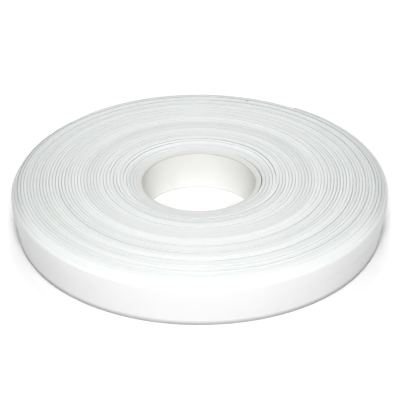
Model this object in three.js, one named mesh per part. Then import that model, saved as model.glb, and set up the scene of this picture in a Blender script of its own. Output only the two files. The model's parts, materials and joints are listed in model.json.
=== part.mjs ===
// A flat roll of soft lay-flat tree guard tube on a winding core, lying on its side.
// Millimetres and degrees, +Z up along the roll's axis, origin at the centre of the underside.
import * as THREE from 'three';

// ---- Driving dimensions ----------------------------------------------------------------------
const BORE_RADIUS = 38.1; // the standard 76 mm bore of a winding core
const CORE_WALL = 3.9;
const CORE_LENGTH = 27.5;
const CORE_CHAMFER = 0.5;
const TUBE_WIDTH = 26.5; // the tube pressed flat, measured along the roll's axis
const TUBE_THICKNESS = 2.0; // two plies pressed together
const FOLD_CHAMFER = 0.7; // the rounded folds along both edges of the flat tube
const CHAMFERED_SHARE = 0.6; // a chamfer takes up no more than this share of half the thickness
const ROLL_RADIUS = 127;
const FIRST_TURN_RADIUS = 42.45; // inner face of the first turn
const FULL_TURNS = 39;
const START_ANGLE = 5; // where the tube's inner end lies on the core
const TIP_ANGLE = 56; // where the tube's outer end stops
const TAIL_SEGMENTS = ['tail_root', 'tail_middle', 'tail_tip'];
const SEGMENT_ANGLE = 11; // arc of each stretch of the free end
const SEGMENT_GAP = 0.3; // clearance between one stretch and the next
const WINDING_CLEARANCE = 0.25; // clearance under the last turn
const LIFT_OVER_START = 45; // arc over which the second turn climbs onto the tube's inner end
const STEP_ARC = 0.8; // arc of the step that each end of the tube leaves in the winding
const STATION_ANGLE = 5; // facet angle round the roll
const TAPE_THICKNESS = 0.2;
const TAPE_CLEARANCE = 0.12;
const TAPE_CHAMFER = 0.05;
const TAIL_TAPE = { from: 47, to: 74, width: 18 };
const START_TAPE = { from: 0, to: 34, width: 20 };

// The winding is dished: its middle turns stand above the core and the last turn. Each pair is a
// radius and the height of the turns' upper edges there.
const UPPER_EDGE = [
  [FIRST_TURN_RADIUS, 27.5],
  [46, 28.3],
  [50, 30.1],
  [54, 31.3],
  [58, 31.6],
  [100, 31.6],
  [112, 30.9],
  [120.4, 30.3],
  [122.8, 29.8],
  [124.6, 28.9],
];
const STEPPED_POINTS = 3; // the outermost of them, which step under the tube's end
const LAST_TURN_LIFT = 1.4; // mean height of the last turn's lower edge
const LAST_TURN_TILT = 1.4; // it touches the floor at the front and stands twice this high at the back

// ---- The spiral ------------------------------------------------------------------------------
const TURNS = FULL_TURNS + (TIP_ANGLE - START_ANGLE) / 360;
const LAST_CENTRE_RADIUS = ROLL_RADIUS - TUBE_THICKNESS / 2;
const PITCH = (LAST_CENTRE_RADIUS - FIRST_TURN_RADIUS - TUBE_THICKNESS / 2) / TURNS;
const TAIL_ROOT_ANGLE = TIP_ANGLE - SEGMENT_ANGLE * TAIL_SEGMENTS.length;
const GAP_ANGLE = THREE.MathUtils.radToDeg(SEGMENT_GAP / ROLL_RADIUS);

const onCircle = (radius, angle, height) => {
  const turn = THREE.MathUtils.degToRad(angle);
  return new THREE.Vector3(radius * Math.cos(turn), radius * Math.sin(turn), height);
};

// Centre radius of the last turn, for an angle that counts back from TIP_ANGLE.
const lastTurnRadius = (angle) => LAST_CENTRE_RADIUS - (PITCH * (TIP_ANGLE - angle)) / 360;
const lastTurnLift = (angle) => LAST_TURN_LIFT + LAST_TURN_TILT * onCircle(1, angle, 0).y;

// ---- Geometry helpers ------------------------------------------------------------------------

// A closed surface through rings of points. Every ring has the same number of points and runs
// anticlockwise as seen from the ring after it. The rings either join up or get flat ends.
function skin(rings, joinsUp) {
  const size = rings[0].length;
  const positions = rings.flat().flatMap((point) => point.toArray());
  const index = [];
  const spans = joinsUp ? rings.length : rings.length - 1;
  for (let ring = 0; ring < spans; ring += 1) {
    const here = ring * size;
    const next = ((ring + 1) % rings.length) * size;
    for (let side = 0; side < size; side += 1) {
      const other = (side + 1) % size;
      index.push(here + side, here + other, next + other);
      index.push(here + side, next + other, next + side);
    }
  }
  if (!joinsUp) {
    const last = (rings.length - 1) * size;
    for (let side = 1; side < size - 1; side += 1) {
      index.push(0, side + 1, side);
      index.push(last, last + side, last + side + 1);
    }
  }
  const geometry = new THREE.BufferGeometry();
  geometry.setAttribute('position', new THREE.Float32BufferAttribute(positions, 3));
  geometry.setIndex(index);
  geometry.computeVertexNormals();
  return geometry;
}

// Evenly spaced angles from one to the other, no further apart than STATION_ANGLE.
function stations(from, to) {
  const steps = Math.ceil((to - from) / STATION_ANGLE);
  return Array.from({ length: steps + 1 }, (_, step) => from + ((to - from) * step) / steps);
}

// A band bent round the roll's axis, with its edges chamfered.
function band(angles, centreRadius, thickness, lowerEdge, width, chamfer) {
  const half = thickness / 2;
  const inset = Math.min(chamfer, half * CHAMFERED_SHARE);
  const rings = angles.map((angle) => {
    const radius = centreRadius(angle);
    const low = lowerEdge(angle);
    const outline = [
      [half, chamfer],
      [half, width - chamfer],
      [half - inset, width],
      [inset - half, width],
      [-half, width - chamfer],
      [-half, chamfer],
      [inset - half, 0],
      [half - inset, 0],
    ];
    return outline.reverse().map(([across, up]) => onCircle(radius + across, angle, low + up));
  });
  return skin(rings, false);
}

// ---- Sub-parts -------------------------------------------------------------------------------

function coreTube() {
  const outer = BORE_RADIUS + CORE_WALL;
  const profile = [
    [BORE_RADIUS, CORE_CHAMFER],
    [BORE_RADIUS + CORE_CHAMFER, 0],
    [outer - CORE_CHAMFER, 0],
    [outer, CORE_CHAMFER],
    [outer, CORE_LENGTH - CORE_CHAMFER],
    [outer - CORE_CHAMFER, CORE_LENGTH],
    [BORE_RADIUS + CORE_CHAMFER, CORE_LENGTH],
    [BORE_RADIUS, CORE_LENGTH - CORE_CHAMFER],
  ];
  const rings = stations(0, 360)
    .slice(0, -1)
    .map((angle) => profile.map(([radius, height]) => onCircle(radius, angle, height)).reverse());
  return skin(rings, true);
}

// All the turns but the last, as one body whose inside and outside both step by one pitch: inside
// where the second turn climbs over the tube's inner end, outside under the tube's outer end.
function woundTube() {
  const outerStep = (angle) => {
    const round = THREE.MathUtils.euclideanModulo(angle - TIP_ANGLE, 360);
    return PITCH * (Math.min(round, 360 - STEP_ARC) / (360 - STEP_ARC) - 1);
  };
  const innerStep = (angle) => {
    const round = THREE.MathUtils.euclideanModulo(angle - START_ANGLE, 360);
    const rising = (round - (360 - STEP_ARC - LIFT_OVER_START)) / LIFT_OVER_START;
    return PITCH * THREE.MathUtils.smoothstep(rising, 0, 1);
  };
  const outermost = UPPER_EDGE.length - STEPPED_POINTS;
  const shift = (place, angle) => {
    if (place === 0) return innerStep(angle);
    return place >= outermost ? outerStep(angle) - WINDING_CLEARANCE : 0;
  };
  const steps = [START_ANGLE - STEP_ARC, START_ANGLE, TIP_ANGLE - STEP_ARC, TIP_ANGLE];
  const even = stations(0, 360)
    .slice(0, -1)
    .filter((angle) => steps.every((step) => Math.abs(angle - step) > STEP_ARC));
  const angles = [...even, ...steps].sort((one, other) => one - other);
  const rings = angles.map((angle) => {
    const edge = (drop) =>
      UPPER_EDGE.map(([radius, height], place) =>
        onCircle(radius + shift(place, angle), angle, height - drop),
      );
    return [...edge(0), ...edge(TUBE_WIDTH).reverse()];
  });
  return skin(rings, true);
}

function outerTurn() {
  const from = TIP_ANGLE - 360 + GAP_ANGLE;
  const angles = stations(from, TAIL_ROOT_ANGLE - GAP_ANGLE / 2);
  return band(angles, lastTurnRadius, TUBE_THICKNESS, lastTurnLift, TUBE_WIDTH, FOLD_CHAMFER);
}

function tailSegment(place) {
  const from = TAIL_ROOT_ANGLE + SEGMENT_ANGLE * place + GAP_ANGLE / 2;
  const angles = stations(from, from + SEGMENT_ANGLE - GAP_ANGLE);
  return band(angles, lastTurnRadius, TUBE_THICKNESS, lastTurnLift, TUBE_WIDTH, FOLD_CHAMFER);
}

// Clear tape over the free end and onto the turn beyond it, one step lower.
function tailTape() {
  const rise = TUBE_THICKNESS / 2 + TAPE_CLEARANCE + TAPE_THICKNESS / 2;
  const stepEnd = TIP_ANGLE + 2 * STEP_ARC;
  const radius = (angle) => {
    const beyond = (angle - TIP_ANGLE - STEP_ARC / 2) / (stepEnd - TIP_ANGLE);
    const drop = PITCH * Math.min(Math.max(beyond, 0), 1);
    return lastTurnRadius(angle) + rise - drop;
  };
  const overEnd = stations(TAIL_TAPE.from, TIP_ANGLE + STEP_ARC / 2);
  const belowStep = stations(stepEnd + STEP_ARC / 2, TAIL_TAPE.to);
  const low = (angle) => lastTurnLift(angle) + (TUBE_WIDTH - TAIL_TAPE.width) / 2;
  return band([...overEnd, ...belowStep], radius, TAPE_THICKNESS, low, TAIL_TAPE.width, TAPE_CHAMFER);
}

// The patch of tape between the core and the start of the tube.
function coreStartTape() {
  const radius = () => BORE_RADIUS + CORE_WALL + TAPE_CLEARANCE + TAPE_THICKNESS / 2;
  const low = () => (CORE_LENGTH - START_TAPE.width) / 2;
  const angles = stations(START_ANGLE + START_TAPE.from, START_ANGLE + START_TAPE.to);
  return band(angles, radius, TAPE_THICKNESS, low, START_TAPE.width, TAPE_CHAMFER);
}

// ---- Assembly --------------------------------------------------------------------------------
const plastic = (color, roughness) => new THREE.MeshStandardMaterial({ color, roughness, metalness: 0 });
const milkyTube = plastic(0xe6eae8, 0.35);
const warmCore = plastic(0xf3f2ec, 0.45);
const clearTape = plastic(0xeef0ea, 0.15);

const roll = new THREE.Group();
function addPart(name, geometry, material) {
  const mesh = new THREE.Mesh(geometry, material);
  mesh.name = name;
  roll.add(mesh);
}

addPart('core_tube', coreTube(), warmCore);
addPart('core_start_tape', coreStartTape(), clearTape);
addPart('wound_tube', woundTube(), milkyTube);
addPart('outer_turn', outerTurn(), milkyTube);
TAIL_SEGMENTS.forEach((name, place) => addPart(name, tailSegment(place), milkyTube));
addPart('tail_tape', tailTape(), clearTape);

export default roll;
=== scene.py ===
"""A flat roll of soft, milky lay-flat guard tube on a warm white core, lying on a pale floor.

The tube is one spiral of about 39 turns. Each turn is the tube pressed flat: two plies with a rounded
fold along both edges. The folds' heights wander from turn to turn, which makes the rings on the face.
"""
import json
import math

import bpy
import numpy as np
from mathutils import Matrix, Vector


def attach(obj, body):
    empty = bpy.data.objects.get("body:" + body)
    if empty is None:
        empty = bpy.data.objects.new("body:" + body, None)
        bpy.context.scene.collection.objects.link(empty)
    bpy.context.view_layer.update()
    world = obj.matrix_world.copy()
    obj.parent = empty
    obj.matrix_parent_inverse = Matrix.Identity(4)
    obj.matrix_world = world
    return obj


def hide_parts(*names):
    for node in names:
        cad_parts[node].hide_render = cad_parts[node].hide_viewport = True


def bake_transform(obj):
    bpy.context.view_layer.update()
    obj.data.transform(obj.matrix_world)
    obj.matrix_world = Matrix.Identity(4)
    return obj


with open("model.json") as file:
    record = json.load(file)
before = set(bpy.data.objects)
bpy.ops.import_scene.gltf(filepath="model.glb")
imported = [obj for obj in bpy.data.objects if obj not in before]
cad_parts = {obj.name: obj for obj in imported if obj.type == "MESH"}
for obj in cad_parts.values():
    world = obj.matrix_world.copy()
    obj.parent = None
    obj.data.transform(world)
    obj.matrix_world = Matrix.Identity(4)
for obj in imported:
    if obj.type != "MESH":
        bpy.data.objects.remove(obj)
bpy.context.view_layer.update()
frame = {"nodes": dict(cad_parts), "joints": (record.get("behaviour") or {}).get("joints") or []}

MM = 0.001

# ---- Driving values --------------------------------------------------------------------------
TUBE_THICKNESS = 2.0 * MM
STATIONS_PER_TURN = 150
RIM_STATIONS_PER_TURN = 720  # the free wall shows its facets more
END_STATIONS = (0.0005, 0.002, 0.008, 0.03, 0.1)  # degrees from a piece's ends, for smooth shading there
CORE_STATIONS = 240
CORE_LIP = 1.0 * MM  # the rounding of the bore's upper rim
CORE_FOOT = 0.9 * MM  # the rounding of the bore's lower rim
CORE_RISE = (0.2 * MM, 1.2 * MM)  # how far the core's end stands up at the bore and at the tube
LIFT_OVER_START = 45 / 360  # share of a turn over which the second turn climbs onto the tube's end
TURNS_TO_SETTLE = 12  # after this many turns the climb is spread over the whole turn
START_FLATNESS = 0.7  # share of the tube's thickness that the turns above have pressed out of its start
START_TAPER = 0.12  # turns over which it regains its thickness
START_FADE = 14  # turns over which the dip above the flattened start fades
HUG = 0.4 * MM  # how much closer the first turns lie to the core past the start tape
HUG_BEGINS = (0.095, 0.16)  # turns: just past the start tape
HUG_ENDS = (1, 6)  # turns
RANDOM_SEED = 11

# (share of the roll's radius, height in mm) of single turns that stand lower or higher than the rest.
ODD_TURNS = [(0.40, -0.35), (0.425, 0.35), (0.47, -0.35), (0.52, -0.25), (0.75, -0.3), (0.86, 0.2)]
ODD_TURN_SPREAD = 0.5  # turns
RESTLESS_FROM = 0.68  # share of the roll's radius beyond which every fold stands out
CALM_RIM_TURNS = 3.5  # the outermost turns, whose folds run smoothly into each other
WANDER = 0.28 * MM
SHORT_WANDER = 0.35  # the share of it that changes within a turn
CORE_BLEND = 14 * MM  # how far from the core the turns still follow its raised edge
FILLED = 0.995  # the share of its space that the flat tube fills
LOOSENESS = 0.012  # and by how much that varies
SLOPES = (-1.2, 0.5)  # the steepest falls and rises of a fold towards the outside
FOLD_RADIUS = 0.42 * MM
RIM_FOLD_RADIUS = 0.95 * MM  # the last turn's outer fold, which nothing presses flat
SAG = (158, 19, 3.0 * MM)  # azimuth and spread in degrees, and depth, of the last turn's sag
RIM_LEAN = 0.4 * MM  # how far the last turn's upper edge leans inwards
SWELL = 0.03 * MM  # the height of each of the waves in its wall
SIDE_TUCK = 2.8 * MM  # how far the outer turns' lower edges are drawn in at the roll's sides
TUCK_FROM = 0.72  # share of the roll's radius where the tuck begins
TIP_THICKNESS = 1.0 * MM  # the pressed end of the tube
TIP_TAPER = 12  # degrees over which the tube thins towards its end
PLY = 0.42 * MM
WALL_STEPS = 10
DARK_TONE = 3  # the folds' colour goes from the palest at -3 to the darkest at 3
MOUTH_DEPTH = 7 * MM
TAPE_WIDTH = 18 * MM
TAPE_THICKNESS = 0.14 * MM
SPECK = (35.5 * MM, 112.2 * MM, 30.3 * MM)  # a speck of dirt on the folds near the rim


# ---- What the frame says ---------------------------------------------------------------------
def node_points(node):
    """Every vertex of a CAD node, once."""
    points = [vertex.co[:] for vertex in frame["nodes"][node].data.vertices]
    return np.unique(np.round(points, 7), axis=0)


def radii(points):
    return np.hypot(points[:, 0], points[:, 1])


def azimuths(points):
    return np.arctan2(points[:, 1], points[:, 0])


core_points = node_points("core_tube")
winding_points = node_points("wound_tube")
tip_points = node_points("tail_tip")
last_points = node_points("outer_turn")

BORE_RADIUS = radii(core_points).min()
CORE_RADIUS = radii(core_points).max()
CORE_LENGTH = core_points[:, 2].max()
ROLL_RADIUS = radii(tip_points).max()
TIP_ANGLE = azimuths(tip_points).max()
FIRST_RADIUS = radii(winding_points).min() + TUBE_THICKNESS / 2
LAST_RADIUS = ROLL_RADIUS - TUBE_THICKNESS / 2
hinges = {joint["name"]: Vector(joint["pos_m"]) for joint in frame["joints"]}


def hinge_angle(name):
    return math.atan2(hinges[name].y, hinges[name].x)


START_ANGLE = azimuths(node_points("core_start_tape")).min()
TAPE_ANGLES = azimuths(node_points("tail_tape"))
TURNS = 39 + (TIP_ANGLE - START_ANGLE) / math.tau
PITCH = (LAST_RADIUS - FIRST_RADIUS) / TURNS


def upper_edge_table():
    """Radius and height of the winding's upper edge, read from the CAD ring half a turn from its steps."""
    away = np.abs(np.abs(azimuths(winding_points)) - math.pi)
    section = winding_points[away < away.min() + 1e-4]
    section = section[np.argsort(radii(section))]
    upper = [group for group in section if group[2] > CORE_LENGTH - MM]
    return np.array([[math.hypot(x, y), z] for x, y, z in upper])


UPPER_EDGE = upper_edge_table()
TUBE_WIDTH = UPPER_EDGE[0, 1] - winding_points[:, 2].min()
LAST_LOWER_EDGE = last_points[:, 2].min()
LAST_TILT = (last_points[:, 2].max() - TUBE_WIDTH - LAST_LOWER_EDGE) / 2

rng = np.random.default_rng(RANDOM_SEED)


# ---- Small helpers ---------------------------------------------------------------------------
def smoothstep(value, low=0.0, high=1.0):
    share = np.clip((value - low) / (high - low), 0, 1)
    return share * share * (3 - 2 * share)


def new_mesh(name, points, faces, material, attributes=None):
    """A smooth-shaded object made of these points and faces."""
    mesh = bpy.data.meshes.new(name)
    mesh.from_pydata(np.asarray(points).tolist(), [], faces)
    for key, values in (attributes or {}).items():
        layer = mesh.attributes.new(key, "FLOAT", "POINT")
        layer.data.foreach_set("value", np.asarray(values, np.float32).ravel())
    mesh.polygons.foreach_set("use_smooth", [len(face.vertices) == 4 for face in mesh.polygons])
    mesh.materials.append(material)
    mesh.update()
    piece = bpy.data.objects.new(name, mesh)
    bpy.context.scene.collection.objects.link(piece)
    return piece


def skin_faces(rings, size, joins_up=False):
    """Quads between rings of points, with a flat cap on each end unless the last ring joins the first."""
    faces = []
    for ring in range(rings if joins_up else rings - 1):
        here, there = ring * size, (ring + 1) % rings * size
        for side in range(size):
            other = (side + 1) % size
            faces.append((here + side, there + side, there + other, here + other))
    if not joins_up:
        faces.append(tuple(range(size)))
        faces.append(tuple((rings - 1) * size + side for side in range(size))[::-1])
    return faces


# ---- The spiral of the wound tube ------------------------------------------------------------
def unevenness(radius):
    """How clearly the folds stand out at this radius, from 0.4 near the core to 1."""
    share = radius / ROLL_RADIUS
    return 0.4 + 0.6 * smoothstep(share, RESTLESS_FROM - 0.04, RESTLESS_FROM + 0.04)


def inner_radius(turn):
    """Radius of the flat tube's inner face. The first turns hug the core, and climb late in each turn."""
    whole = np.floor(turn)
    width = LIFT_OVER_START + (1 - LIFT_OVER_START) * np.clip(whole / TURNS_TO_SETTLE, 0, 1)
    rising = np.clip((turn - whole - (1 - width)) / width, 0, 1)
    climb = whole + smoothstep(rising) * (1 - width) + rising * width
    hug = HUG * smoothstep(turn, *HUG_BEGINS) * (1 - smoothstep(turn, *HUG_ENDS))
    return FIRST_RADIUS - PITCH / 2 + PITCH * (climb - start_dip(turn)) - hug


def start_dip(turn):
    """How much lower the tube lies over its flattened start, in pitches. It fades from turn to turn."""
    whole = np.floor(turn)
    share = turn - whole
    here, there = [np.where(count > 0, np.exp((1 - count) / START_FADE), 0) for count in (whole, whole + 1)]
    past_start = here * (1 - smoothstep(share, 0, START_TAPER))
    before_start = there * smoothstep(share, 1 - LIFT_OVER_START, 1)
    return START_FLATNESS * (past_start + before_start)


def spiral_radius(turn):
    """Centre radius of the flat tube, which fills the space up to its next turn."""
    return (inner_radius(turn) + inner_radius(turn + 1)) / 2


def at_front(turn):
    """1 where the tube passes the front of the roll, fading to 0 at its sides and back."""
    return smoothstep(-np.sin(START_ANGLE + math.tau * turn), 0.1, 0.9)


def last_turn_lift(turn):
    """Height of the last turn's lower edge: on the floor at the front, lifted at the back, with one sag."""
    angle = START_ANGLE + math.tau * turn
    from_sag = np.angle(np.exp(1j * (angle - math.radians(SAG[0]))))
    sag = SAG[2] * np.exp(-((from_sag / math.radians(SAG[1])) ** 2))
    return np.maximum(LAST_LOWER_EDGE + LAST_TILT * (1 + np.sin(angle)) - sag, 0)


def upper_envelope(turn):
    """Height of the lower edge if no turn stood out, at this winding count."""
    radius = spiral_radius(turn)
    inner = np.interp(radius, UPPER_EDGE[:, 0], UPPER_EDGE[:, 1]) - TUBE_WIDTH
    inner = inner + CORE_RISE[1] * (1 - smoothstep(radius, CORE_RADIUS, CORE_RADIUS + CORE_BLEND))
    onto_last = smoothstep(turn, TURNS - 1.3, TURNS - 0.95)
    onto_last = np.maximum(onto_last, 0.6 * at_front(turn) * smoothstep(turn, TURNS - 5, TURNS - 1))
    return inner * (1 - onto_last) + last_turn_lift(turn) * onto_last


def odd_height(turn):
    """How far the odd turns stand higher, or lower, than their neighbours."""
    centres = [(share * ROLL_RADIUS - FIRST_RADIUS) / PITCH for share, _ in ODD_TURNS]
    bumps = [np.exp(-(((turn - centre) / ODD_TURN_SPREAD) ** 2)) for centre in centres]
    return sum(height * MM * bump for (_, height), bump in zip(ODD_TURNS, bumps))


def lower_edge(turn):
    """Height of the tube's lower edge, with the wander of its turns."""
    radius = spiral_radius(turn)
    wander = WANDER * unevenness(radius) * (turn_wander(turn) + SHORT_WANDER * short_wander(turn))
    restless = smoothstep(turn, 0.0, 2.5) * (1 - smoothstep(turn, TURNS - 3.0, TURNS - 1.2))
    return np.maximum(upper_envelope(turn) + (wander + odd_height(turn)) * restless, 0.0002 * MM)


class Spiral:
    """The tube's stations between two winding counts, with everything that varies along it."""

    def __init__(self, first, last, stations_per_turn=RIM_STATIONS_PER_TURN):
        between = np.linspace(first, last, round((last - first) * stations_per_turn) + 1)[1:-1]
        near_ends = np.array(END_STATIONS) / 360
        self.turn = np.concatenate([[first], first + near_ends, between, (last - near_ends)[::-1], [last]])
        self.angle = START_ANGLE + math.tau * self.turn
        self.radius = spiral_radius(self.turn)
        self.along = np.interp(self.turn, TABLE_TURNS, TABLE_LENGTHS)
        self.low = lower_edge(self.turn)
        self.thickness = inner_radius(self.turn + 1) - inner_radius(self.turn)
        self.thickness *= FILLED - LOOSENESS * (1 + looseness(self.turn))
        self.press_tip()
        front = at_front(self.turn)
        inside_rim = 1 - front * smoothstep(self.turn, TURNS - CALM_RIM_TURNS, TURNS - CALM_RIM_TURNS + 1)
        self.corner = FOLD_RADIUS * (0.4 + 0.6 * unevenness(self.radius) * inside_rim)
        self.corner *= smoothstep(self.turn, -1, 3) * (1 - 0.5 * front)
        self.slope = self.fold_slope()
        self.tone = self.fold_tone_and_painted_light(front)
        self.line = self.painted_valley_shade_strength(front, inside_rim)

    def fold_tone_and_painted_light(self, front):
        """The folds' colour: each turn's random tone, with painted shade and a painted highlight round the
        front of the rim. It is dark next to the core.
        """
        across_view = smoothstep(np.abs(np.sin(self.angle)), 0.1, 0.9)
        # painted shade: the random tone is painted up to 1.9 times stronger at the front and back than at
        # the sides
        tone = tones(self.turn) * (1 + 0.9 * across_view)
        # at the front, the turns from the eighth on are painted a little darker, and turns that stand low
        # are painted darker as their shade
        tone += front * (0.9 * smoothstep(self.turn, 8, 20) - 5 * odd_height(self.turn) / MM)
        # painted highlight: the outer turns round the front of the rim are painted pale
        pale = smoothstep(front, 0, 0.7) * smoothstep(self.turn, TURNS - 4.5, TURNS - 2.5)
        tone = tone * (1 - pale) - DARK_TONE * pale
        dark = (1 - smoothstep(self.turn, 0, 4)) * (1 - 0.5 * front)
        return tone + (DARK_TONE - tone) * dark

    def painted_valley_shade_strength(self, front, inside_rim):
        """How dark the painted shade in the valleys between folds is: faint at the front, and strongest on
        the rim's back.
        """
        line = (1.2 - 0.6 * unevenness(self.radius)) * (0.6 + 0.4 * lines(self.turn)) * inside_rim
        line *= 1 - 0.8 * front * smoothstep(self.turn, 3, 14)
        return line + 1.5 * (1 - front) * smoothstep(self.turn, TURNS - 4, TURNS - 3)

    def press_tip(self):
        """The tape presses the tube's end flatter, against the turn below."""
        pressed = smoothstep(self.turn, TURNS - TIP_TAPER / 360, TURNS)
        thinner = (self.thickness - TIP_THICKNESS) * pressed
        self.thickness = self.thickness - thinner
        self.radius = self.radius - thinner / 2

    def fold_slope(self):
        """How steeply the upper edges rise outwards here: each fold leans with its neighbours."""
        at_rim = smoothstep(self.turn, TURNS - 1.1, TURNS - 0.9)
        inner = np.maximum(self.turn - 1, 0)
        rise = upper_envelope(self.turn + 1) - upper_envelope(inner)
        within = rise / (spiral_radius(self.turn + 1) - spiral_radius(inner))
        last_step = (upper_envelope(self.turn) - upper_envelope(inner)) / PITCH
        return np.clip(within * (1 - at_rim) + last_step * at_rim, *SLOPES)


def seeded_curve(knots_per_turn):
    """One smooth random curve over the whole tube, as a function of the winding count."""
    values = rng.uniform(-1, 1, int(TURNS * knots_per_turn) + 6)

    def curve(turn):
        place = np.asarray(turn) * knots_per_turn
        knot = np.floor(place).astype(int)
        share = smoothstep(place - knot)
        return values[knot] * (1 - share) + values[knot + 1] * share

    return curve


turn_wander = seeded_curve(1.0)
short_wander = seeded_curve(5.0)
looseness = seeded_curve(2.0)
tones = seeded_curve(1.0)
lines = seeded_curve(1.3)

TABLE_TURNS = np.linspace(0, TURNS, 8001)
TABLE_RADII = spiral_radius(TABLE_TURNS)
TABLE_LENGTHS = np.append(0, np.cumsum(np.diff(TABLE_TURNS) * math.tau * TABLE_RADII[1:]))


# ---- The flat tube's section -----------------------------------------------------------------
def section_outline(side_steps):
    """Points of the section as (side, arc angle or None, share of the height).

    They go anticlockwise, from low on the outer side.
    """
    up_the_side = [step / (side_steps + 1) for step in range(1, side_steps + 1)]
    outline = [(1, None, share) for share in up_the_side]
    outline += [(1, math.radians(degrees), 1) for degrees in (0, 22, 45, 68, 90)]
    outline += [(-1, math.radians(degrees), 1) for degrees in (90, 112, 135, 158, 180)]
    outline += [(-1, None, share) for share in reversed(up_the_side)]
    outline += [(-1, math.radians(degrees), 0) for degrees in (180, 225, 270)]
    outline += [(1, math.radians(degrees), 0) for degrees in (270, 315, 360)]
    return outline


def tucked(radius, angle, up):
    """The radius of a point once the outer turns are drawn in towards their lower edges."""
    reach = SIDE_TUCK * np.cos(angle) ** 4 * smoothstep(radius / ROLL_RADIUS, TUCK_FROM, 1)
    return radius - reach * (1 - smoothstep(up / TUBE_WIDTH, 0.1, 0.85))


def placed(spiral, across, up, rim):
    """Points of the section in space. At the rim the wall leans in at the top, and swells."""
    angle = spiral.angle[:, None]
    radius = tucked(spiral.radius[:, None] + across, angle, up)
    if rim:
        radius = radius - RIM_LEAN * np.clip((up / TUBE_WIDTH - 0.75) / 0.25, 0, 1) ** 2
        radius = radius + wall_swell(spiral.along[:, None], up)
    return np.stack([radius * np.cos(angle), radius * np.sin(angle), spiral.low[:, None] + up], -1)


def tube_rings(spiral, rim=False, inset=0.0):
    """Rings of section points along the tube, with their attributes.

    At the rim the outer side is a free wall, which leans, swells and has a fuller fold. An inset gives
    the inside of the tube's hollow.
    """
    half = spiral.thickness / 2
    columns, heights, painted_valley_shades = [], [], []
    for side, bend, share in section_outline(WALL_STEPS if rim else 0):
        free = rim and side > 0
        corner = np.full_like(half, RIM_FOLD_RADIUS) if free and share else spiral.corner
        corner = np.minimum(corner, 0.9 * spiral.thickness)
        # painted shade for the valleys: full on the tube's sides, and on the folds' arcs where they turn
        # down into a valley; none on the free wall
        if bend is None:
            across = side * half
            up = corner + (TUBE_WIDTH - 2 * corner) * share
            painted_valley_shade = 0.0 if free else 1.0
        else:
            across = side * (half - corner) + corner * math.cos(bend)
            middle = TUBE_WIDTH - corner if share else corner
            up = middle + corner * math.sin(bend) + share * spiral.slope * across
            painted_valley_shade = 0.0 if free or not share else abs(math.cos(bend)) ** 1.5
        columns.append(across)
        heights.append(up)
        painted_valley_shades.append(painted_valley_shade * spiral.line)
    across, up = np.array(columns).T, np.array(heights).T
    around = np.cumsum(np.hypot(np.diff(across, axis=1, prepend=0), np.diff(up, axis=1, prepend=0)), axis=1)
    if inset:
        across = np.sign(across) * np.maximum(np.abs(across) - inset, 0.05 * MM)
        up = np.clip(up, inset, TUBE_WIDTH - inset)
    points = placed(spiral, across, up, rim)
    attributes = {
        "along": spiral.along[:, None] * np.ones_like(up),
        "around": around,
        "tone": spiral.tone[:, None] * np.ones_like(up),
        "painted_valley_shade": np.array(painted_valley_shades).T,
        "up": up,
        # the hem: a darker fold tint and a painted contact shadow along the lower edge, 30 % weaker at the
        # front
        "hem_tint_and_painted_shadow": (1 - smoothstep(up, 0.5 * MM, 1.2 * MM)) * (1 - 0.3 * at_front(spiral.turn)[:, None]),
    }
    return points, attributes


def tube_piece(name, spiral, material, rim=False, open_end=False):
    """One stretch of the tube as a closed mesh. Its far end may be the tube's open mouth."""
    points, attributes = tube_rings(spiral, rim)
    if open_end:
        depth = np.searchsorted(spiral.along, spiral.along[-1] - MOUTH_DEPTH)
        inner_points, inner_attributes = tube_rings(spiral, rim, PLY)
        points = np.concatenate([points, inner_points[depth:][::-1]])
        for key, values in inner_attributes.items():
            attributes[key] = np.concatenate([attributes[key], values[depth:][::-1]])
    stations, size = points.shape[:2]
    return new_mesh(name, points.reshape(-1, 3), skin_faces(stations, size), material, attributes)


# ---- Materials -------------------------------------------------------------------------------
class Shader:
    """A node material, built one node at a time."""

    def __init__(self, name):
        self.material = bpy.data.materials.new(name)
        self.material.use_nodes = True
        self.tree = self.material.node_tree
        self.surface = self.tree.nodes["Principled BSDF"]

    def node(self, kind, inputs=None, **settings):
        made = self.tree.nodes.new(kind)
        for key, value in settings.items():
            setattr(made, key, value)
        for key, value in (inputs or {}).items():
            self.put(made.inputs[key], value)
        return made

    def put(self, socket, value):
        if isinstance(value, bpy.types.NodeSocket):
            self.tree.links.new(value, socket)
        else:
            socket.default_value = value

    def attribute(self, name):
        return self.node("ShaderNodeAttribute", attribute_name=name).outputs["Fac"]

    def math(self, operation, first, second):
        return self.node("ShaderNodeMath", {0: first, 1: second}, operation=operation).outputs[0]

    def mix(self, share, first, second):
        made = self.node("ShaderNodeMix", data_type="RGBA")
        self.put(made.inputs[0], share)
        self.put(made.inputs[6], first)
        self.put(made.inputs[7], second)
        return made.outputs[2]

    def noise(self, vector, scale, detail=2.0):
        inputs = {"Vector": vector, "Scale": scale, "Detail": detail}
        return self.node("ShaderNodeTexNoise", inputs).outputs["Fac"]

    def stretched(self, first, second, first_scale, second_scale):
        """A vector of two measures in metres, each with its own scale."""
        scaled = [self.math("MULTIPLY", *pair) for pair in ((first, first_scale), (second, second_scale))]
        return self.node("ShaderNodeCombineXYZ", dict(enumerate(scaled))).outputs[0]

    def range(self, value, low, high, new_low, new_high):
        inputs = {0: value, 1: low, 2: high, 3: new_low, 4: new_high}
        return self.node("ShaderNodeMapRange", inputs).outputs[0]

    def distance(self, place, point):
        return self.node("ShaderNodeVectorMath", {0: place, 1: point}, operation="DISTANCE").outputs["Value"]

    def bump(self, height, distance, strength=1.0, normal=None):
        inputs = {"Height": height, "Distance": distance, "Strength": strength}
        if normal is not None:
            inputs["Normal"] = normal
        return self.node("ShaderNodeBump", inputs).outputs[0]

    def finish(self, **inputs):
        for key, value in inputs.items():
            self.put(self.surface.inputs[key.replace("_", " ")], value)
        return self.material


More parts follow.
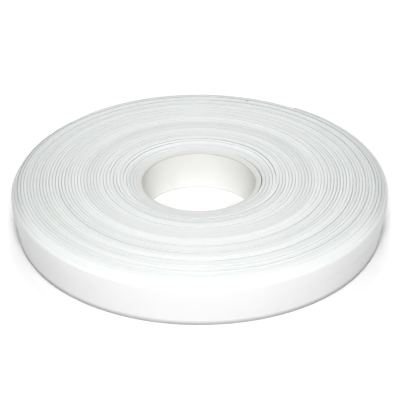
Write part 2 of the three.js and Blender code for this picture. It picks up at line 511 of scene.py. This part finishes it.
def milky_tube():
    """Soft translucent plastic: drawn lines along the tube, faint waves across it, tinted folds whose tones
    carry painted shade and a painted highlight, painted shade in the valleys between folds, and a dark hem
    with a painted contact shadow.
    """
    shader = Shader("milky_tube")
    along, around, up = [shader.attribute(name) for name in ("along", "around", "up")]
    drawn_lines = shader.noise(shader.stretched(along, around, 3, 1400), 1.0, 3)
    waves = shader.noise(shader.stretched(along, around, 34, 30), 1.0, 1)
    cloud = shader.noise(shader.stretched(along, around, 170, 260), 1.0, 3)
    # the folds' colour follows their tone attribute, which carries painted shade and a painted highlight
    # besides each turn's random tone
    fold_colour = shader.mix(
        shader.range(shader.attribute("tone"), -DARK_TONE, DARK_TONE, 0, 1),
        (0.795, 0.815, 0.807, 1),
        (0.575, 0.595, 0.587, 1),
    )
    on_fold = shader.range(up, TUBE_WIDTH - 2.3 * MM, TUBE_WIDTH - 0.7 * MM, 0, 1)
    valley_shade_band = shader.range(up, TUBE_WIDTH - 3 * MM, TUBE_WIDTH - 1.5 * MM, 0, 0.72)
    colour = shader.mix(on_fold, (0.66, 0.66, 0.66, 1), fold_colour)
    colour = shader.mix(shader.range(cloud, 0.35, 0.7, 0.0, 0.10), colour, (0.66, 0.68, 0.67, 1))
    # painted shade: the valleys between folds are painted dark, most on the rim's back and least at the
    # front
    painted_valley_shade = shader.math("MULTIPLY", shader.attribute("painted_valley_shade"), valley_shade_band)
    colour = shader.mix(painted_valley_shade, colour, (0.36, 0.39, 0.38, 1))
    # the lower hem is painted dark: the fold's darker tint there, with a painted contact shadow where the
    # tube meets the floor
    colour = shader.mix(shader.attribute("hem_tint_and_painted_shadow"), colour, (0.10, 0.12, 0.115, 1))
    place = shader.node("ShaderNodeTexCoord").outputs["Object"]
    from_speck = shader.distance(place, SPECK)
    colour = shader.mix(shader.range(from_speck, 0.5 * MM, 1.1 * MM, 0.85, 0), colour, (0.05, 0.06, 0.06, 1))
    normal = shader.bump(waves, 0.35 * MM, 0.5)
    normal = shader.bump(drawn_lines, 0.04 * MM, 0.6, normal)
    return shader.finish(
        Base_Color=colour,
        Roughness=shader.range(drawn_lines, 0.3, 0.7, 0.26, 0.40),
        Normal=normal,
        IOR=1.46,
    )


def warm_core():
    """Smooth warm white plastic, faintly mottled, with drawn lines down the bore."""
    shader = Shader("warm_core")
    place = shader.node("ShaderNodeTexCoord").outputs["Object"]
    x, y, z = shader.node("ShaderNodeSeparateXYZ", {0: place}).outputs
    angle = shader.math("ARCTAN2", y, x)
    drawn = shader.noise(shader.stretched(angle, z, 60, 12), 1.0, 2)
    mottle = shader.noise(place, 90, 4)
    mottled = shader.range(mottle, 0.35, 0.7, 0.0, 0.25)
    colour = shader.mix(mottled, (0.755, 0.755, 0.735, 1), (0.69, 0.69, 0.665, 1))
    # painted shade: the edge attribute darkens the core as a contact shadow round the bore's foot, a line
    # round the lip and a little over the end face
    colour = shader.mix(shader.attribute("edge"), colour, (0.34, 0.35, 0.33, 1))
    normal = shader.bump(drawn, 0.05 * MM, 0.5)
    normal = shader.bump(mottle, 0.03 * MM, 0.5, normal)
    return shader.finish(
        Base_Color=colour,
        Roughness=shader.range(drawn, 0.3, 0.7, 0.38, 0.5),
        Normal=normal,
        IOR=1.48,
    )


def clear_tape():
    """Glossy clear tape, a little wrinkled, seen mostly by its shine and its edges."""
    shader = Shader("clear_tape")
    place = shader.node("ShaderNodeTexCoord").outputs["Object"]
    wrinkles = shader.noise(place, 160, 3)
    wrinkled = shader.range(wrinkles, 0.3, 0.7, 0, 1)
    colour = shader.mix(wrinkled, (0.95, 0.955, 0.92, 1), (0.89, 0.895, 0.85, 1))
    return shader.finish(
        Base_Color=colour,
        Roughness=shader.range(wrinkles, 0.3, 0.7, 0.08, 0.2),
        Normal=shader.bump(wrinkles, 0.08 * MM, 0.5),
        Alpha=0.15,
        IOR=1.5,
    )


def pale_floor():
    """A matte white floor. It glows where the front soft box doesn't reach, to stay white."""
    shader = Shader("pale_floor")
    place = shader.node("ShaderNodeTexCoord").outputs["Object"]
    speckle = shader.noise(place, 40, 2)
    colour = shader.mix(speckle, (0.93, 0.93, 0.93, 1), (0.96, 0.96, 0.96, 1))
    return shader.finish(
        Base_Color=colour,
        Roughness=0.9,
        Emission_Color=(1, 1, 1, 1),
        Emission_Strength=shader.range(shader.distance(place, BRIGHT_SPOT), 0.5, 1.2, 0.05, FLOOR_GLOW),
    )


# ---- Pieces ----------------------------------------------------------------------------------
def make_core(material):
    """The core as a turned ring with a full lip at the top. Its rims carry painted shade: a painted contact
    shadow round the bore's foot, a dark painted line round the lip, and lighter painted shade on the end
    face.
    """
    lip, foot, sharp = CORE_LIP, CORE_FOOT, 0.25 * MM
    low_end, high_end = [CORE_LENGTH + rise for rise in CORE_RISE]
    # centre radius and height, bend radius, then direction and painted shade at the bend's start and end
    bends = [
        (BORE_RADIUS + foot, foot, foot, (180, 0.0), (225, 0.7)),
        (BORE_RADIUS + foot, foot, foot, (225, 0.7), (270, 0.7)),
        (CORE_RADIUS - sharp, sharp, sharp, (270, 0.0), (360, 0.0)),
        (CORE_RADIUS - sharp, high_end - sharp, sharp, (0, 0.22), (111, 0.22)),
        (BORE_RADIUS + lip, low_end - lip, lip, (111, 0.2), (140, 0.2)),
        (BORE_RADIUS + lip, low_end - lip, lip, (147, 0.6), (166, 0.6)),
        (BORE_RADIUS + lip, low_end - lip, lip, (172, 0.1), (180, 0.0)),
    ]
    profile, edge = [], []
    for radius, height, bend_radius, start, end in bends:
        for degrees, painted_shade in np.linspace(start, end, 6):
            bend = math.radians(degrees)
            profile.append((radius + bend_radius * math.cos(bend), height + bend_radius * math.sin(bend)))
            edge.append(painted_shade)
    profile = np.array(profile)
    angle = np.linspace(0, math.tau, CORE_STATIONS, endpoint=False)[:, None]
    height = np.broadcast_to(profile[:, 1], (CORE_STATIONS, len(profile)))
    points = np.stack([profile[:, 0] * np.cos(angle), profile[:, 0] * np.sin(angle), height], -1)
    faces = skin_faces(CORE_STATIONS, len(profile), True)
    return new_mesh("core_ring", points.reshape(-1, 3), faces, material, {"edge": edge * CORE_STATIONS})


def wall_swell(along, up):
    """Soft dents and swells of the outermost wall, outwards only."""
    wave = np.sin(along * 95 + 1.3) + np.sin(along * 171 + up * 60) + 0.7 * np.sin(along * 41 - up * 90)
    return SWELL * (wave + 2.7) * smoothstep(up, 0, 0.3 * TUBE_WIDTH)


def turn_at(angle):
    """The winding count at an azimuth on the last turn, counted back from the tip."""
    return TURNS - (TIP_ANGLE - angle) / math.tau


def fit_piece(piece, body, *nodes, slot="tube"):
    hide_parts(*nodes)
    if body:
        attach(piece, body)


def make_tube(material):
    """The winding, the last turn, and the free end in stretches that each span one hinge."""
    bend = math.radians(3.6)  # half the arc over which the tube bends at a hinge
    hinge = [hinge_angle(name) for name in ("tail_peel", "tail_bend_middle", "tail_bend_tip")]
    joins = [hinge[0] - 1.5 * bend, (hinge[0] + hinge[1]) / 2, (hinge[1] + hinge[2]) / 2, TIP_ANGLE]
    nodes = ["tail_root", "tail_middle", "tail_tip"]

    fit_piece(tube_piece("winding", Spiral(0, TURNS - 1, STATIONS_PER_TURN), material), "roll", "wound_tube")
    last = tube_piece("last_turn", Spiral(TURNS - 1, turn_at(joins[0])), material, rim=True)
    fit_piece(last, "roll", "outer_turn")
    for place, node in enumerate(nodes):
        spiral = Spiral(turn_at(joins[place]), turn_at(joins[place + 1]))
        piece = tube_piece(f"free_end_{place + 1}", spiral, material, rim=True, open_end=node == nodes[-1])
        fit_piece(piece, None, node)
        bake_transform(piece)


def make_tape(material):
    """Clear tape round the tube's end: over the end, down its step, and along the turn below."""
    step = math.radians(1.5)
    over_end = Spiral(turn_at(TAPE_ANGLES.min()), TURNS)
    below = Spiral(turn_at(TIP_ANGLE + step) - 1, turn_at(TAPE_ANGLES.max()) - 1)
    share = np.linspace(-0.5, 0.5, WALL_STEPS)
    up = TUBE_WIDTH / 2 + TAPE_WIDTH * np.append(share, share[::-1])
    lift = np.repeat([TAPE_THICKNESS, 0.02 * MM], WALL_STEPS)
    rings = [placed(part, part.thickness[:, None] / 2 + lift, up, True) for part in (over_end, below)]
    points = np.concatenate(rings)
    return new_mesh("end_tape", points.reshape(-1, 3), skin_faces(*points.shape[:2]), material)


# ---- Stage, light and camera -----------------------------------------------------------------
CAMERA_DISTANCE = 8.0 * ROLL_RADIUS
CAMERA_ELEVATION = math.radians(31.2)
CAMERA_AIM = Vector((0.006, 0.164, 0)) * ROLL_RADIUS
CAMERA_LENS = 131.6
HORIZON_FADE = (0.12, 0.22)  # heights on the sky sphere, of radius 1, between which the light falls
HORIZON_LIGHT = 0.7
DOME_LIGHT = 0.02
BRIGHT_SPOT = (0, -0.5, 0)  # where the front soft box lights the floor most
FLOOR_GLOW = 0.75


def make_floor():
    bpy.ops.mesh.primitive_plane_add(size=8)
    floor = bpy.context.object
    floor.name = "floor"
    floor.data.materials.append(pale_floor())


def add_soft_box(name, azimuth, elevation, distance, size, watts):
    """A rectangular soft box that faces the roll from this direction."""
    data = bpy.data.lights.new(name, "AREA")
    data.shape = "RECTANGLE"
    data.size, data.size_y = size
    data.energy = watts
    around, up = math.radians(azimuth), math.radians(elevation)
    away = Vector((math.cos(around) * math.cos(up), math.sin(around) * math.cos(up), math.sin(up)))
    light = bpy.data.objects.new(name, data)
    light.location = away * distance
    light.rotation_euler = away.to_track_quat("Z", "Y").to_euler()
    bpy.context.scene.collection.objects.link(light)


def make_world():
    """A pale horizon under a dim ceiling, so that only the soft boxes shape the roll."""
    world = bpy.data.worlds.new("studio")
    world.use_nodes = True
    tree = world.node_tree
    place = tree.nodes.new("ShaderNodeTexCoord")
    split = tree.nodes.new("ShaderNodeSeparateXYZ")
    fade = tree.nodes.new("ShaderNodeMapRange")
    tree.links.new(place.outputs["Generated"], split.inputs[0])
    tree.links.new(split.outputs["Z"], fade.inputs[0])
    for socket, value in enumerate((*HORIZON_FADE, HORIZON_LIGHT, DOME_LIGHT), 1):
        fade.inputs[socket].default_value = value
    tree.links.new(fade.outputs[0], tree.nodes["Background"].inputs[1])
    tree.nodes["Background"].inputs[0].default_value = (1, 1, 1, 1)
    bpy.context.scene.world = world


def make_lights():
    add_soft_box("front_box", -90, 42, 1.15, (0.4, 0.6), 13.5)
    add_soft_box("back_box", 90, 50, 1.9, (0.8, 0.7), 15.0)
    add_soft_box("low_back_box", 90, 22, 1.9, (0.9, 0.4), 4.2)


def make_camera():
    data = bpy.data.cameras.new("camera")
    data.lens = CAMERA_LENS
    camera = bpy.data.objects.new("camera", data)
    back = Vector((0, -math.cos(CAMERA_ELEVATION), math.sin(CAMERA_ELEVATION)))
    camera.location = CAMERA_AIM + back * CAMERA_DISTANCE
    camera.rotation_euler = (-back).to_track_quat("-Z", "Y").to_euler()
    bpy.context.scene.collection.objects.link(camera)
    bpy.context.scene.camera = camera


make_camera()
make_world()
make_lights()
make_floor()
tube_material = milky_tube()
tape_material = clear_tape()
fit_piece(make_core(warm_core()), "roll", "core_tube", slot="core")
make_tube(tube_material)
fit_piece(make_tape(tape_material), "tail_tip_stretch", "tail_tape", slot="tape")
frame["nodes"]["core_start_tape"].data.materials.clear()
frame["nodes"]["core_start_tape"].data.materials.append(tape_material)
bpy.context.scene.view_settings.view_transform = "Standard"
